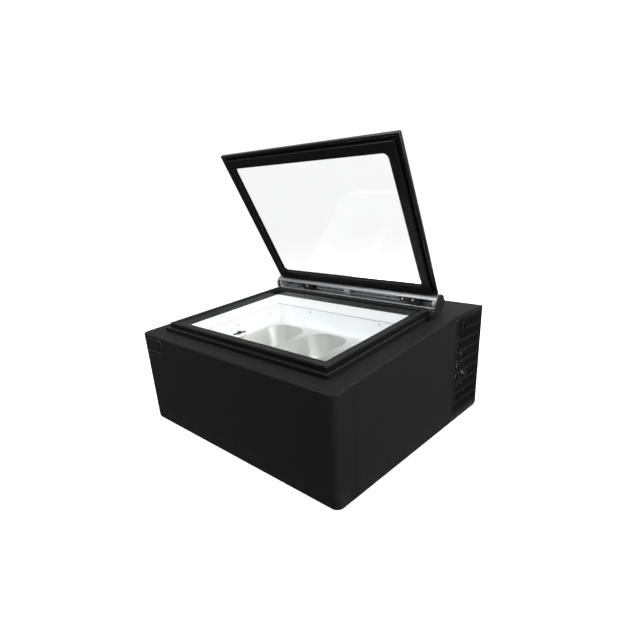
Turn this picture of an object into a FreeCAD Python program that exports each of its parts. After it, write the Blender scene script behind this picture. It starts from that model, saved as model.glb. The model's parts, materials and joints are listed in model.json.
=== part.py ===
import FreeCAD, Part
import math
import os

os.makedirs("parts", exist_ok=True)

# Countertop ice-cream display freezer. Millimetres, +Z up, front towards -Y.
# The origin is on the ground at the middle of the cabinet. The lid is open at rest.

V = FreeCAD.Vector

# ---------------------------------------------------------------- cabinet
width = 710.0
depth = 622.0
front_height = 252.0
rear_height = 307.0
fold_depth = 483.0            # front face to the fold between slope and flat top
sheet = 1.5
corner_radius = 18.0          # upright front corners
edge_radius = 4.0             # rolled top edges
seam = 0.5
panel_bottom = 6.5
fascia_return = 55.5          # how far the fascia runs back along the sides
machine_front = 464.0         # front face to the machine compartment
deck_flange = 5.0             # height of the deck's rolled edge
cover_flange = 11.0           # height of the rear cover's side flange
proud = 1.5                   # how far controls stand out of the cabinet

# ---------------------------------------------------------------- rim, in slope coordinates
rim_half_width = 302.5
rim_start = 41.5              # along the slope from the front top edge
rim_end = 448.5
rim_width = 34.0
flange_height = 11.0
step_height = 18.5
bead_height = 21.4
rim_drop = 3.6                # height of the inner face's lower edge above the deck

# ---------------------------------------------------------------- tank and pans
collar_height = 29.0
collar_wall = 4.0
collar_gap = 1.2
tank_wall = 1.5
tank_floor = 70.0
pan_plane = -84.0             # flange plane of the pans, below the deck
pan_width = 175.0
pan_length = 325.0
pan_depth = 100.0
pan_flange = 12.5
pan_taper = 11.0              # how far each side leans in over the depth
pan_sheet = 0.8
pan_gap = 1.0
pan_corner = 52.0

# ---------------------------------------------------------------- hinge and lid
axis_depth = 466.0            # front face to the hinge axis
axis_height = 332.4
tube_radius = 23.5
tube_wall = 2.0
tube_half = 301.0
cap_thickness = 5.0
cover_from = 27.0             # elevation of the cover's lower front edge, lid open
cover_to = 205.0
rail_radius = 20.5
rail_from = -165.0
rail_to = -38.0
lid_angle = 62.6              # lid above the horizontal at rest
lid_half_width = 300.5
lid_reach = 420.0             # hinge axis to the lid's free edge
lid_under = 1.5               # underside's distance from the hinge axis
lid_thickness = 10.0
lid_bar = 12.0
lid_band = 35.5               # edge of the lid to the clear window
window_start = 50.0
window_radius = 13.0
pane = 3.0
gasket_height = 6.8

# ---------------------------------------------------------------- controls
controller_width = 76.0
controller_height = 44.0
controller_x = -294.0
controller_z = 220.0
switch_depth = 514.0
switch_height = 273.0
switch_width = 26.0
switch_length = 34.0

# ---------------------------------------------------------------- machine compartment
fan_depth = 541.0
fan_height = 132.0
fan_radius = 58.0
compressor_x = -120.0
compressor_depth = 541.0
compressor_radius = 62.0
condenser_x = 215.0

half_width = width / 2
front = -depth / 2
rear = depth / 2
slope = math.degrees(math.atan2(rear_height - front_height, fold_depth))
slope_rad = math.radians(slope)
axis_y = front + axis_depth
opening_half = rim_half_width - rim_width
mouth_front = front + (rim_start + rim_width) * math.cos(slope_rad)
mouth_rear = front + (rim_end - rim_width) * math.cos(slope_rad)
inner_x = half_width - sheet


# ================================================================ helpers
def at(from_front):
    """Y of a point this far behind the cabinet's front face."""
    return front + from_front


def slope_z(y):
    """Height of the sloped top above the ground at y."""
    return front_height + (y - front) * math.tan(slope_rad)


def box(x0, x1, y0, y1, z0, z1):
    return Part.makeBox(x1 - x0, y1 - y0, z1 - z0, V(x0, y0, z0))


def cyl(radius, start, direction, length):
    return Part.makeCylinder(radius, length, V(*start), V(*direction))


def rounded_rect(x0, x1, y0, y1, radius, z=0.0):
    """A flat face in the XY plane with round corners."""
    if radius <= 0:
        corners = [V(x0, y0, z), V(x1, y0, z), V(x1, y1, z), V(x0, y1, z), V(x0, y0, z)]
        return Part.Face(Part.makePolygon(corners))
    edges = []
    corners = [(x1 - radius, y0 + radius, -90), (x1 - radius, y1 - radius, 0),
               (x0 + radius, y1 - radius, 90), (x0 + radius, y0 + radius, 180)]
    arcs = []
    for cx, cy, start in corners:
        points = []
        for turn in (0, 45, 90):
            a = math.radians(start + turn)
            points.append(V(cx + radius * math.cos(a), cy + radius * math.sin(a), z))
        arcs.append(points)
    for i, points in enumerate(arcs):
        following = arcs[(i + 1) % len(arcs)][0]
        edges.append(Part.Arc(*points).toShape())
        if (following - points[2]).Length > 1e-6:
            edges.append(Part.LineSegment(points[2], following).toShape())
    return Part.Face(Part.Wire(edges))


def slab(x0, x1, y0, y1, z0, z1, radius=0.0):
    """A box with round upright corners."""
    return rounded_rect(x0, x1, y0, y1, radius, z0).extrude(V(0, 0, z1 - z0))


def ring(x, y0, y1, inset, z0, z1, outer_radius=0.0, inner_radius=0.0):
    """A rectangular frame, half as wide as x on each side, with bars inset wide."""
    outer = slab(-x, x, y0, y1, z0, z1, outer_radius)
    inner = slab(-x + inset, x - inset, y0 + inset, y1 - inset, z0 - 1, z1 + 1, inner_radius)
    return outer.cut(inner)


def turned(shape, angle, centre=(0, 0, 0), axis=(1, 0, 0)):
    copy = shape.copy()
    copy.rotate(V(*centre), V(*axis), angle)
    return copy


def moved(shape, x, y, z):
    copy = shape.copy()
    copy.translate(V(x, y, z))
    return copy


def on_slope(shape):
    """Put a shape drawn with Y along the slope and Z out of it onto the deck."""
    return moved(turned(shape, slope), 0, front, front_height)


def prism_x(points, x0, x1):
    """Extrude a (y, z) outline along X."""
    wire = Part.makePolygon([V(x0, y, z) for y, z in points + [points[0]]])
    return Part.Face(wire).extrude(V(x1 - x0, 0, 0))


def arc_band(inner, outer, start, end, x0, x1):
    """Part of a tube about X. Angles are elevations above the front horizontal."""
    def point(radius, angle):
        a = math.radians(angle)
        return V(x0, -radius * math.cos(a), radius * math.sin(a))
    middle = (start + end) / 2
    edges = [
        Part.Arc(point(outer, start), point(outer, middle), point(outer, end)).toShape(),
        Part.LineSegment(point(outer, end), point(inner, end)).toShape(),
        Part.Arc(point(inner, end), point(inner, middle), point(inner, start)).toShape(),
        Part.LineSegment(point(inner, start), point(outer, start)).toShape(),
    ]
    return Part.Face(Part.Wire(edges)).extrude(V(x1 - x0, 0, 0))


def at_hinge(shape):
    return moved(shape, 0, axis_y, axis_height)


def on_lid(shape):
    """Put a shape drawn as a flat lid reaching towards -Y onto the open lid."""
    return at_hinge(turned(shape, -lid_angle))


def fuse(shapes):
    result = shapes[0]
    if len(shapes) > 1:
        result = shapes[0].multiFuse(shapes[1:])
    return result.removeSplitter()


def tube_path(points, radius, bend):
    """A round tube along straight runs joined by arcs of radius bend."""
    corners = [V(*p) for p in points]
    edges = []
    last = corners[0]
    for before, corner, after in zip(corners, corners[1:], corners[2:]):
        a = (before - corner).normalize()
        b = (after - corner).normalize()
        half = a.getAngle(b) / 2
        back = bend / math.tan(half)
        start = corner + a * back
        end = corner + b * back
        bisector = (a + b).normalize()
        centre = corner + bisector * (bend / math.sin(half))
        edges.append(Part.LineSegment(last, start).toShape())
        edges.append(Part.Arc(start, centre - bisector * bend, end).toShape())
        last = end
    edges.append(Part.LineSegment(last, corners[-1]).toShape())
    path = Part.Wire(edges)
    direction = (corners[1] - corners[0]).normalize()
    profile = Part.Wire(Part.Circle(corners[0], direction, radius).toShape())
    return path.makePipeShell([profile], True, False)


# ================================================================ cabinet shell
def cabinet_solid(inset, bottom):
    """The cabinet's outline, pulled in by inset."""
    drop = inset / math.cos(slope_rad)
    outline = [
        (front + inset, bottom),
        (rear - inset, bottom),
        (rear - inset, rear_height - inset),
        (at(fold_depth) + inset * math.tan(slope_rad / 2), rear_height - inset),
        (front + inset, front_height - drop + inset * math.tan(slope_rad)),
    ]
    body = prism_x(outline, -half_width + inset, half_width - inset)
    upright = [e for e in body.Edges if is_front_corner(e, inset)]
    body = body.makeFillet(corner_radius - inset, upright)
    top = [e for e in body.Edges if is_top_edge(e, inset)]
    return body.makeFillet(edge_radius - inset, top)


def is_front_corner(edge, inset):
    a, b = edge.Vertexes[0].Point, edge.Vertexes[-1].Point
    upright = abs(a.x - b.x) < 1e-3 and abs(a.y - b.y) < 1e-3
    return upright and abs(a.y - front - inset) < 1e-3


def is_top_edge(edge, inset):
    """The front and side edges of the sloped top."""
    for vertex in edge.Vertexes:
        p = vertex.Point
        expected = slope_z(p.y) - inset / math.cos(slope_rad)
        if p.y > at(fold_depth) + 1 or abs(p.z - expected) > 0.01:
            return False
    middle = edge.valueAt((edge.FirstParameter + edge.LastParameter) / 2)
    return middle.y < at(fold_depth) - 1


def deck_zone(lower, y_end):
    """Everything above a plane this far under the sloped top, up to y_end."""
    return prism_x([
        (front - 10, slope_z(front - 10) - lower),
        (y_end, slope_z(y_end) - lower),
        (y_end, rear_height + 100),
        (front - 10, rear_height + 100),
    ], -half_width - 10, half_width + 10)


def build_shell():
    skin = cabinet_solid(0, panel_bottom).cut(cabinet_solid(sheet, panel_bottom - 10))
    gap = seam / 2
    big = 2 * width
    split = at(machine_front)
    below_deck = skin.cut(deck_zone(deck_flange + seam, split + 20))
    mouth = on_slope(slab(-opening_half - 12, opening_half + 12,
                          rim_start + rim_width - 12, rim_end - rim_width + 12, -20, 20))
    deck = skin.common(deck_zone(deck_flange, split - gap)).cut(mouth)
    cover = skin.common(box(-big, big, split + gap, big, rear_height - cover_flange, big))
    fascia = below_deck.common(box(-big, big, -big, at(fascia_return) - gap, 0, big))
    fascia = fascia.cut(slab_y(controller_x, controller_z, controller_width - 6, controller_height - 6, 3))
    sides = []
    for x0, x1 in ((-big, -half_width + 30), (half_width - 30, big)):
        sides.append(below_deck.common(box(x0, x1, at(fascia_return) + gap, split - gap, 0, big)))
    back = skin.common(box(-big, big, rear - sheet - 0.01, big, 0, rear_height - cover_flange - seam))
    return deck, cover, fascia, sides, back


def slab_y(x, z, size_x, size_z, radius):
    """A cutter through the front face."""
    flat = slab(x - size_x / 2, x + size_x / 2, z - size_z / 2, z + size_z / 2, -10, 10, radius)
    return moved(turned(flat, 90), 0, front, 0)


# ---------------------------------------------------------------- base and feet
base_bottom = 1.5
base_floor = 2.0
base_wall = 16.0


def build_base():
    outer = box(-inner_x, inner_x, front + sheet, rear - sheet, base_bottom, base_wall)
    upright = [e for e in outer.Edges if is_front_corner(e, sheet)]
    outer = outer.makeFillet(corner_radius - sheet, upright)
    inner = box(-inner_x + sheet, inner_x - sheet, front + 2 * sheet, rear - 2 * sheet,
                base_bottom + base_floor, base_wall + 1)
    upright = [e for e in inner.Edges if is_front_corner(e, 2 * sheet)]
    inner = inner.makeFillet(corner_radius - 2 * sheet, upright)
    return outer.cut(inner)


foot_radius = 19.0
foot_inset = 60.0


def build_feet():
    feet = []
    for x in (-half_width + foot_inset, half_width - foot_inset):
        for y in (front + foot_inset, rear - foot_inset):
            foot = cyl(foot_radius, (x, y, 0), (0, 0, 1), base_bottom)
            feet.append(foot)
    return Part.makeCompound(feet)


# ---------------------------------------------------------------- grilles and rear panel
grille_recess = 2.0
grille_rows = 9
grille_columns = 11
slot_width = 6.0
slot_pitch = 11.7
row_pitch = 29.7
slot_height = 23.0
grille_margin_front = 18.0
grille_margin_bottom = 10.0
louvre_count = 12
louvre_pitch = 12.0
louvre_length = 150.0
louvre_height = 4.0
inlet_x = 265.0
inlet_z = 70.0


def build_grille(side):
    """A slotted plate. side is +1 on the right and -1 on the left."""
    outer = half_width - grille_recess
    y0, y1 = at(machine_front) + seam, rear - sheet
    z0, z1 = base_wall + seam, rear_height - cover_flange - seam
    plate = box(outer - sheet, outer, y0, y1, z0, z1)
    cutters = []
    for row in range(grille_rows):
        for column in range(grille_columns):
            y = y0 + grille_margin_front + column * slot_pitch
            z = z0 + grille_margin_bottom + row * row_pitch
            cutters.append(box(outer - 5, outer + 5, y, y + slot_width, z, z + slot_height))
    plate = plate.cut(Part.makeCompound(cutters))
    if side > 0:
        y, z = at(switch_depth), switch_height
        pad = box(outer - sheet, outer, y - switch_width / 2 - 3, y + switch_width / 2 + 3,
                  z - switch_length / 2 - 3, z + switch_length / 2 + 3)
        hole = box(outer - 5, outer + 5, y - switch_width / 2 + 2, y + switch_width / 2 - 2,
                   z - switch_length / 2 + 2, z + switch_length / 2 - 2)
        plate = fuse([plate, pad]).cut(hole)
    else:
        plate = plate.mirror(V(0, 0, 0), V(1, 0, 0))
    return plate


def build_rear_panel(back):
    cutters = []
    for group_x in (-170.0, 90.0):
        for i in range(louvre_count):
            z = 110 + i * louvre_pitch
            cutters.append(box(group_x - louvre_length / 2, group_x + louvre_length / 2,
                               rear - 10, rear + 10, z, z + louvre_height))
    cutters.append(box(inlet_x - 13.9, inlet_x + 13.9, rear - 10, rear + 10,
                       inlet_z - 10.2, inlet_z + 10.2))
    return back.cut(Part.makeCompound(cutters))


screw_head = 3.4


def screw(start, direction, radius=screw_head, height=1.4):
    """A low round screw head standing on a face."""
    head = cyl(radius, start, direction, height)
    rim = [e for e in head.Edges if abs(e.Length - 2 * math.pi * radius) < 0.01]
    far = V(*start) + V(*direction) * height
    rim = [e for e in rim if (e.CenterOfMass - far).Length < 0.01]
    return head.makeFillet(height * 0.6, rim)


def build_panel_screws():
    heads = []
    grille_face = half_width - grille_recess
    for side in (-1, 1):
        for z in (21.5, 291.0):
            for y in (at(machine_front) + 9, rear - 9):
                heads.append(screw((side * grille_face, y, z), (side, 0, 0)))
    for x in (-320.0, -107.0, 107.0, 320.0):
        for z in (22.0, 284.0):
            heads.append(screw((x, rear, z), (0, 1, 0), screw_head, 1.2))
    tilt = (0, -math.sin(slope_rad), math.cos(slope_rad))
    for x in (-107.0, 107.0):
        y = front + (rim_start - 5) * math.cos(slope_rad)
        heads.append(screw((x, y, slope_z(y)), tilt, 2.2, 1.0))
    return Part.makeCompound(heads)


# ================================================================ rim, liner and pans
def rim_ring(a0, a1, h0, h1, radius=0.0):
    """A ring between two insets from the rim's outer edge, in slope coordinates."""
    outer = slab(-rim_half_width + a0, rim_half_width - a0, rim_start + a0, rim_end - a0, h0, h1, radius)
    inner = slab(-rim_half_width + a1, rim_half_width - a1, rim_start + a1, rim_end - a1, h0 - 1, h1 + 1)
    return outer.cut(inner)


def build_rim():
    flange = rim_ring(0, rim_width, 0, flange_height, 5)
    step = rim_ring(11, rim_width, flange_height - 1, step_height, 2)
    frame = fuse([flange, step])
    frame = frame.cut(rim_ring(8.5, 11, flange_height - 3, flange_height + 1, 2))
    lip = rim_ring(rim_width - collar_wall, rim_width + 1, -1, rim_drop)
    frame = frame.cut(lip)
    soften = []
    for e in frame.Edges:
        b = e.BoundBox
        level = b.ZLength < 0.01 and abs(b.ZMin - flange_height) < 0.01
        on_side = b.XLength < 0.01 and abs(abs(b.XMin) - rim_half_width) < 0.01
        on_end = b.YLength < 0.01 and min(abs(b.YMin - rim_start), abs(b.YMin - rim_end)) < 0.01
        if e.Length >= 12 and level and (on_side or on_end):
            soften.append(e)
    frame = frame.makeChamfer(1.0, soften)
    led_slot = slab(-232, 232, rim_start + rim_width - 4, rim_start + rim_width + 1, 6, 12)
    return on_slope(frame.cut(led_slot))


def build_led():
    strip = slab(-231.5, 231.5, rim_start + rim_width - 4, rim_start + rim_width - 0.5, 6, 12)
    return on_slope(strip)


def build_rim_gasket():
    bead = rim_ring(12, 25, step_height, bead_height - 1.2, 2)
    crown = rim_ring(13.2, 23.8, bead_height - 1.2, bead_height, 1.5)
    return on_slope(fuse([bead, crown]))


def build_corner_blocks():
    """Two stops on the rim's outer flange, near its back corners."""
    blocks = []
    for side in (-1, 1):
        x0, x1 = sorted((side * (rim_half_width - 1.5), side * (rim_half_width + 9)))
        block = slab(x0, x1, rim_end - 42, rim_end - 22, 0, 14, 1.5)
        tip = cyl(3.0, (side * (rim_half_width + 3.75), rim_end - 32, 14), (0, 0, 1), 2.4)
        ring_cut = slab(-rim_half_width, rim_half_width, rim_start, rim_end, -1, flange_height)
        blocks.append(fuse([block, tip]).cut(ring_cut))
    return on_slope(Part.makeCompound(blocks))


def well(x, y0, y1, z0, h_top, radius):
    """An upright-sided prism that ends at a plane h_top above the deck."""
    body = slab(-x, x, y0, y1, z0, rear_height + 60, radius)
    return body.cut(deck_zone(-h_top / math.cos(slope_rad), rear + 10))


def build_collar():
    outer = well(opening_half + collar_wall, mouth_front - collar_wall, mouth_rear + collar_wall,
                 0, rim_drop, 2)
    keep = deck_zone((collar_height - rim_drop) / math.cos(slope_rad), rear)
    inner = slab(-opening_half, opening_half, mouth_front, mouth_rear, -1, 500)
    return outer.cut(inner).common(keep)


tank_half = opening_half + 1.0
tank_front = mouth_front - 1.0
tank_rear = mouth_rear + 1.0
tank_top = rim_drop - collar_height - collar_gap


def build_tank():
    outer = well(tank_half + tank_wall, tank_front - tank_wall, tank_rear + tank_wall,
                 tank_floor - tank_wall, tank_top, tank_corner)
    inner = slab(-tank_half, tank_half, tank_front, tank_rear, tank_floor, 500, 6)
    return outer.cut(inner)


coil_radius = 4.0
coil_levels = (96.0, 124.0, 152.0, 180.0)
coil_room = 10.0
tank_clear = 0.3
tank_corner = 7.5
coil_bend = tank_corner + tank_clear + coil_radius


def build_evaporator():
    """Rings of tube round the tank, joined by risers at the back."""
    x = tank_half + tank_wall + tank_clear + coil_radius
    y0 = tank_front - tank_wall - tank_clear - coil_radius
    y1 = tank_rear + tank_wall + tank_clear + coil_radius
    loops = []
    for z in coil_levels:
        runs = [
            cyl(coil_radius, (-x + coil_bend, y0, z), (1, 0, 0), 2 * (x - coil_bend)),
            cyl(coil_radius, (-x + coil_bend, y1, z), (1, 0, 0), 2 * (x - coil_bend)),
            cyl(coil_radius, (-x, y0 + coil_bend, z), (0, 1, 0), y1 - y0 - 2 * coil_bend),
            cyl(coil_radius, (x, y0 + coil_bend, z), (0, 1, 0), y1 - y0 - 2 * coil_bend),
        ]
        for cx, cy, first in ((x - coil_bend, y0 + coil_bend, -90), (x - coil_bend, y1 - coil_bend, 0),
                              (-x + coil_bend, y1 - coil_bend, 90), (-x + coil_bend, y0 + coil_bend, 180)):
            bend = Part.makeTorus(coil_bend, coil_radius, V(0, 0, 0), V(0, 0, 1), 0, 360, 90)
            loops.append(moved(turned(bend, first, (0, 0, 0), (0, 0, 1)), cx, cy, z))
        loops += runs
    for i, (low, high) in enumerate(zip(coil_levels, coil_levels[1:])):
        loops.append(cyl(coil_radius, (-60 + 60 * i, y1, low), (0, 0, 1), high - low))
    return fuse(loops)


foam_half = 349.0
foam_front = 6.0
foam_rear = 457.0
foam_bottom = 8.0


def build_foam():
    body = slab(-foam_half, foam_half, at(foam_front), at(foam_rear), foam_bottom, rear_height + 60, 14)
    body = body.cut(deck_zone((sheet + 1) / math.cos(slope_rad), rear))
    hole = slab(-tank_half - tank_wall, tank_half + tank_wall,
                tank_front - tank_wall, tank_rear + tank_wall, tank_floor - tank_wall, 600, tank_corner)
    reach = collar_wall + 0.5
    mouth = slab(-opening_half - reach, opening_half + reach,
                 mouth_front - reach, mouth_rear + reach, 200, 600, 2)
    mouth = mouth.common(deck_zone((collar_height - rim_drop + collar_gap) / math.cos(slope_rad), rear))
    coil = ring_room(coil_levels[0] - 8, coil_levels[-1] + 8)
    case = box(controller_x - 40, controller_x + 40, front, at(52), controller_z - 26, controller_z + 26)
    return body.cut(hole).cut(mouth).cut(coil).cut(case)


def ring_room(z0, z1):
    reach = tank_wall + coil_room
    return slab(-tank_half - reach, tank_half + reach, tank_front - reach, tank_rear + reach, z0, z1, 6)


bar_width = 14.0
ledge_sheet = 2.0
ledge_drop = 0.3              # clearance under the pan flanges
pan_start = mouth_front + 1.6


def pan_centre(i):
    return (i - 1) * (pan_width + pan_gap)


def pan_slope(shape):
    """Put a shape drawn in the pans' flange plane, Y from the pans' front edge, into the tank."""
    y = pan_start
    z = slope_z(y) + pan_plane / math.cos(slope_rad)
    return moved(turned(shape, slope), 0, y, z)


def build_pan_frame():
    """A ledge round the tank with two bars that carry the pan flanges."""
    x = tank_half - 0.4
    y0 = -1.6 - 0.4
    y1 = (tank_rear - pan_start) / math.cos(slope_rad) - 0.4
    inner_x0 = pan_centre(0) - pan_width / 2 + pan_flange - 4
    inner_y0 = pan_flange - 4
    inner_y1 = pan_length - pan_flange + 5
    plate = slab(-x, x, y0, y1, -ledge_drop - ledge_sheet, -ledge_drop, 4)
    half_bar = bar_width / 2
    bars = [pan_centre(0) + (pan_width + pan_gap) / 2, pan_centre(1) + (pan_width + pan_gap) / 2]
    lefts = [inner_x0, bars[0] + half_bar, bars[1] + half_bar]
    rights = [bars[0] - half_bar, bars[1] - half_bar, -inner_x0]
    for left, right in zip(lefts, rights):
        plate = plate.cut(slab(left, right, inner_y0, inner_y1, -10, 10, 30))
    skirt = ring(x, y0, y1, 2, -22, -ledge_drop - ledge_sheet, 4, 2)
    tank = slab(-tank_half, tank_half, tank_front, tank_rear, tank_floor, 500, 6)
    return pan_slope(fuse([plate, skirt])).common(tank)


def pan_body(x, grow, top, bottom, lean):
    """A round-cornered tapering tub drawn as a loft between two outlines."""
    wires = []
    for z, inset in ((top, 0.0), (bottom, lean)):
        edge = pan_flange + inset - grow
        radius = pan_corner - inset * 0.6 + grow
        face = rounded_rect(x - pan_width / 2 + edge, x + pan_width / 2 - edge,
                            edge, pan_length - edge, radius, z)
        wires.append(face.OuterWire)
    return Part.makeLoft(wires, True, True)


def build_pan(i):
    x = pan_centre(i)
    outer = pan_body(x, 0.0, 0.0, -pan_depth, pan_taper)
    floor_edges = [e for e in outer.Edges if e.BoundBox.ZMax < -pan_depth + 0.01]
    outer = outer.makeFillet(14, floor_edges)
    lean_at_floor = pan_taper * (pan_depth - pan_sheet) / pan_depth
    inner = pan_body(x, -pan_sheet, 0.0, -pan_depth + pan_sheet, lean_at_floor)
    floor_edges = [e for e in inner.Edges if e.BoundBox.ZMax < -pan_depth + pan_sheet + 0.01]
    inner = inner.makeFillet(13, floor_edges)
    flange = slab(x - pan_width / 2, x + pan_width / 2, 0, pan_length, 0, 1.6, 8)
    mouth = pan_body(x, -pan_sheet, 2.0, -1.0, 0.1)
    tub = fuse([outer, flange]).cut(inner).cut(mouth)
    return pan_slope(tub)


def build_liner_screws():
    """Round caps on the tank walls."""
    caps = []
    z = 258.0
    for x in (-121.0, 147.0):
        caps.append(screw((x, tank_rear, z + 4), (0, -1, 0), 3.0, 0.9))
    for side in (-1, 1):
        caps.append(screw((side * tank_half, at(247), 235.0), (-side, 0, 0), 3.0, 0.9))
        caps.append(screw((side * tank_half, at(372), 246.0), (-side, 0, 0), 3.0, 0.9))
    for x in (-121.0, 147.0):
        caps.append(screw((x, tank_front, 204.0), (0, 1, 0), 3.0, 0.9))
    return Part.makeCompound(caps)


def build_probe():
    """A sensor bulb in a two-part clip on the left wall."""
    x = -tank_half
    y, z = at(247), 209.0
    plate = box(x, x + 1.6, y - 7, y + 7, z - 5, z + 5)
    bulb = cyl(2.4, (x + 4.0, y - 21, z), (0, 1, 0), 42)
    claws = [box(x + 1.6, x + 2.6, y - 6, y + 6, z - 3.5, z + 3.5)]
    return fuse([plate, bulb] + claws)


# ================================================================ controls
def build_controller():
    w, h = controller_width / 2, controller_height / 2
    face = slab(-w, w, -h, h, -proud, 4, 9)
    case = slab(-w + 3.3, w - 3.3, -h + 3.3, h - 3.3, 3, 48, 2)
    body = fuse([face, case])
    window = slab(-w + 6, w - 6, -2, h - 5, -proud - 1, -proud + 1.2, 3)
    body = body.cut(window)
    for x in button_places:
        key_hole = slab(x - button_width / 2 - key_play, x + button_width / 2 + key_play,
                        key_row - button_height / 2 - key_play, key_row + button_height / 2 + key_play,
                        -proud - 1, 3, 1.4)
        body = body.cut(key_hole)
    body = facing_front(body)
    wall = box(-half_width, half_width, front, front + sheet, 0, 400)
    opening = slab_y(controller_x, controller_z, controller_width - 6, controller_height - 6, 3)
    return body.cut(wall.cut(opening))


button_width = 12.0
button_height = 6.0
key_row = -11.0               # keys' height on the controller
key_play = 0.4
button_places = (-25.5, -8.5, 8.5, 25.5)


def facing_front(shape):
    """Put a shape drawn with X across, Y up and Z into the cabinet onto the controller's place."""
    flipped = turned(shape.mirror(V(0, 0, 0), V(0, 0, 1)), 90)
    return moved(flipped, controller_x, front, controller_z)


def build_lens():
    w, h = controller_width / 2, controller_height / 2
    lens = slab(-w + 6.2, w - 6.2, -1.8, h - 5.2, -proud + 0.2, -proud + 1.2, 2.8)
    return facing_front(lens)


def build_button(i):
    x = button_places[i]
    cap = slab(x - button_width / 2, x + button_width / 2,
               key_row - button_height / 2, key_row + button_height / 2, -proud + 0.1, 1.8, 1.2)
    return facing_front(cap)


def build_switch_bezel():
    face = half_width - grille_recess
    y, z = at(switch_depth), switch_height
    w, h = switch_width / 2, switch_length / 2
    flange = box(face, face + 1.4, y - w, y + w, z - h, z + h)
    body = box(face - 22, face, y - w + 2.2, y + w - 2.2, z - h + 2.2, z + h - 2.2)
    shell = fuse([flange, body])
    pocket = box(face - 15, face + 3, y - w + 4, y + w - 4, z - h + 4, z + h - 4)
    return shell.cut(pocket)


rocker_tilt = 9.0


def build_rocker():
    """A rocker with a shallow vee face, tilted to one side about Y."""
    w = switch_width / 2 - 4.5
    reach = 10.6
    outline = [(-reach, -1.5), (-reach, 2.6), (0, 1.0), (reach, 2.6), (reach, -1.5),
               (2.8, -6.0), (-2.8, -6.0)]
    wire = Part.makePolygon([V(out, -w, along) for along, out in outline + [outline[0]]])
    blade = Part.Face(wire).extrude(V(0, 2 * w, 0))
    blade = turned(blade, rocker_tilt, (0, 0, 0), (0, 1, 0))
    return moved(blade, half_width - grille_recess - 2.5, at(switch_depth), switch_height)


def build_inlet():
    flange = slab(-25, 25, -12, 12, 0, proud, 4)
    body = slab(-13.7, 13.7, -10, 10, -20, 0.5, 2.5)
    inlet = fuse([flange, body])
    inlet = inlet.cut(slab(-12.2, 12.2, -8.2, 8.2, -17, 3, 2))
    pins = []
    for x, y in ((-7, -1.5), (0, 2.5), (7, -1.5)):
        pins.append(box(x - 1, x + 1, y - 2, y + 2, -18, -5))
    inlet = fuse([inlet] + pins)
    return moved(turned(inlet, -90), inlet_x, rear, inlet_z)


# ================================================================ machine compartment
ground = base_bottom + base_floor


def build_bulkhead():
    y = at(machine_front) - 5.5
    body = box(-inner_x + sheet, inner_x - sheet, y, y + 1.2, ground, slope_z(y) - 4)
    foot = box(-inner_x + sheet, inner_x - sheet, y, y + 14, ground, ground + 1.2)
    ports = [cyl(7, (x, y - 5, 60), (0, 1, 0), 20) for x in (-40, 40)]
    return fuse([body, foot]).cut(Part.makeCompound(ports))


mount_height = 14.0


def build_compressor():
    y = at(compressor_depth)
    base = ground + mount_height
    shell = cyl(compressor_radius, (0, 0, 0), (0, 0, 1), 118)
    caps = [e for e in shell.Edges if abs(e.Length - 2 * math.pi * compressor_radius) < 0.1]
    shell = shell.makeFillet(36, caps)
    shell = moved(shell, 0, 0, 3)
    plate = slab(-85, 85, -56, 56, 0, 3, 10)
    weld = cyl(compressor_radius + 1.5, (0, 0, 58), (0, 0, 1), 5)
    terminal = box(40, 74, -20, 20, 50, 92)
    body = fuse([shell, plate, weld, terminal])
    for x, y_ in mount_places():
        body = body.cut(cyl(5.5, (x, y_, -1), (0, 0, 1), 6))
    return moved(body, compressor_x, y, base)


def mount_places():
    return [(x, y) for x in (-72, 72) for y in (-44, 44)]


def build_mounts():
    grommets = []
    for x, y in mount_places():
        stem = cyl(5.0, (x, y, mount_height - 0.5), (0, 0, 1), 6)
        pad = cyl(11, (x, y, 0), (0, 0, 1), mount_height)
        grommets.append(moved(fuse([pad, stem]), compressor_x, at(compressor_depth), ground))
    return Part.makeCompound(grommets)


fan_plane = 322.0
fin_pitch = 6.0


def build_condenser():
    """Hairpin tubes through a stack of fins between two end plates."""
    x0, x1 = condenser_x - 22, condenser_x + 22
    y0, y1 = at(480), at(604)
    z0, z1 = ground, 232.0
    plates = [box(x0, x1, y, y + 1.5, z0, z1) for y in (y0, y1 - 1.5)]
    tubes = []
    for x in (condenser_x - 11, condenser_x + 11):
        for level in range(7):
            z = z0 + 22 + level * 30
            tubes.append(cyl(4.0, (x, y0 - 4, z), (0, 1, 0), y1 - y0 + 8))
    fin_places = spread(y0 + fin_pitch, y1 - fin_pitch, fin_pitch)
    fins = [box(x0 + 2, x1 - 2, y, y + 0.6, z0 + 4, z1 - 4) for y in fin_places]
    return fuse(plates + tubes + fins)


def spread(start, end, step):
    count = int((end - start) / step)
    return [start + i * step for i in range(count + 1)]


def build_shroud():
    """A square plate with a round mouth, standing on the base."""
    y, z = at(fan_depth), fan_height
    x = fan_plane - 26
    plate = box(x, x + 1.5, y - 68, y + 68, ground, z + 78)
    mouth = cyl(fan_radius + 3.5, (x - 5, y, z), (1, 0, 0), 60)
    collar = cyl(fan_radius + 5, (x, y, z), (1, 0, 0), 24)
    return fuse([plate, collar]).cut(mouth)


def build_motor():
    """A capped motor on a strap across the shroud."""
    y, z = at(fan_depth), fan_height
    x = fan_plane - 27
    can = cyl(21, (x - 40, y, z), (1, 0, 0), 40)
    ends = [e for e in can.Edges if abs(e.Length - 2 * math.pi * 21) < 0.1]
    can = can.makeFillet(4, ends)
    strap = box(x - 1, x + 1, y - 66, y + 66, z - 8, z + 8)
    shaft = cyl(3.0, (x - 2, y, z), (1, 0, 0), 23.4)
    return fuse([can, strap, shaft])


blade_count = 5


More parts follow.
